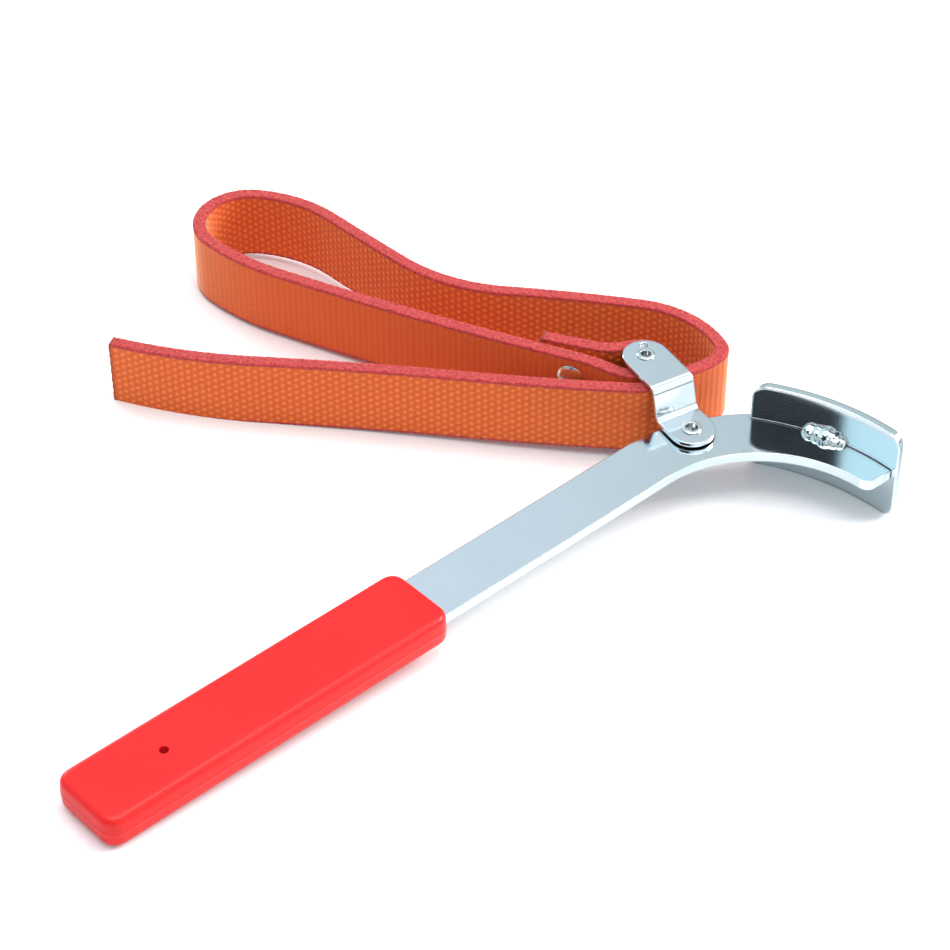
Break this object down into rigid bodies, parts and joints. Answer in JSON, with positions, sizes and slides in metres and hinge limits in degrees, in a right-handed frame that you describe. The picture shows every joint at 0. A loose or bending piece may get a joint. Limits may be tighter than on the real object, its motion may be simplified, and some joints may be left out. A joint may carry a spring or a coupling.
{
  "type": "oil filter wrench",
  "caption": "Strap wrench for oil filters: flat steel hook handle with a moulded grip, curved shoe, and a webbing strap in a swivelling clip.",
  "frame": {"origin": "axis of the clip rivet, half way through the thickness of the bar", "axes": "+X along the bar from the grip to the hook, +Z square to the flat of the bar, +Y toward the strap side; the hook curves toward -Y"},
  "size_m": [0.2819, 0.2546, 0.0331],
  "materials": {
    "zinc_steel": "bright zinc plating, near mirror",
    "rivet_steel": "bright plated, slightly duller than the bar",
    "grip_plastic": "smooth satin moulded plastic",
    "webbing": "heavy woven webbing with dyed edges"
  },
  "bodies": {
    "handle": {"handle_bar": "zinc_steel", "grip": "grip_plastic", "shoe": "zinc_steel", "shoe_weld": "zinc_steel", "clip_rivet": "rivet_steel", "clip_washer_top": "rivet_steel", "clip_washer_bottom": "rivet_steel"},
    "clip": {"clip_upper": "zinc_steel", "clip_lower": "zinc_steel", "strap_pin": "rivet_steel"},
    "loop": {"strap_loop": "webbing", "strap_rivet_top": "rivet_steel", "strap_rivet_bottom": "rivet_steel", "strap_washer_top": "rivet_steel", "strap_washer_bottom": "rivet_steel"},
    "tail": {"strap_tail": "webbing"}
  },
  "joints": [
    {"name": "clip_swivel", "type": "hinge", "parent": "handle", "child": "clip", "pos_m": [0, 0, 0], "axis": [0, 0, 1], "range_deg": [-20, 25]},
    {"name": "loop_turn", "type": "hinge", "parent": "clip", "child": "loop", "pos_m": [0.00586, 0.02758, 0], "axis": [0, 0, 1], "range_deg": [-8, 2]},
    {"name": "tail_swing", "type": "hinge", "parent": "clip", "child": "tail", "pos_m": [0.00353, 0.01663, 0], "axis": [0, 0, 1], "range_deg": [-4, 8]}
  ]
}
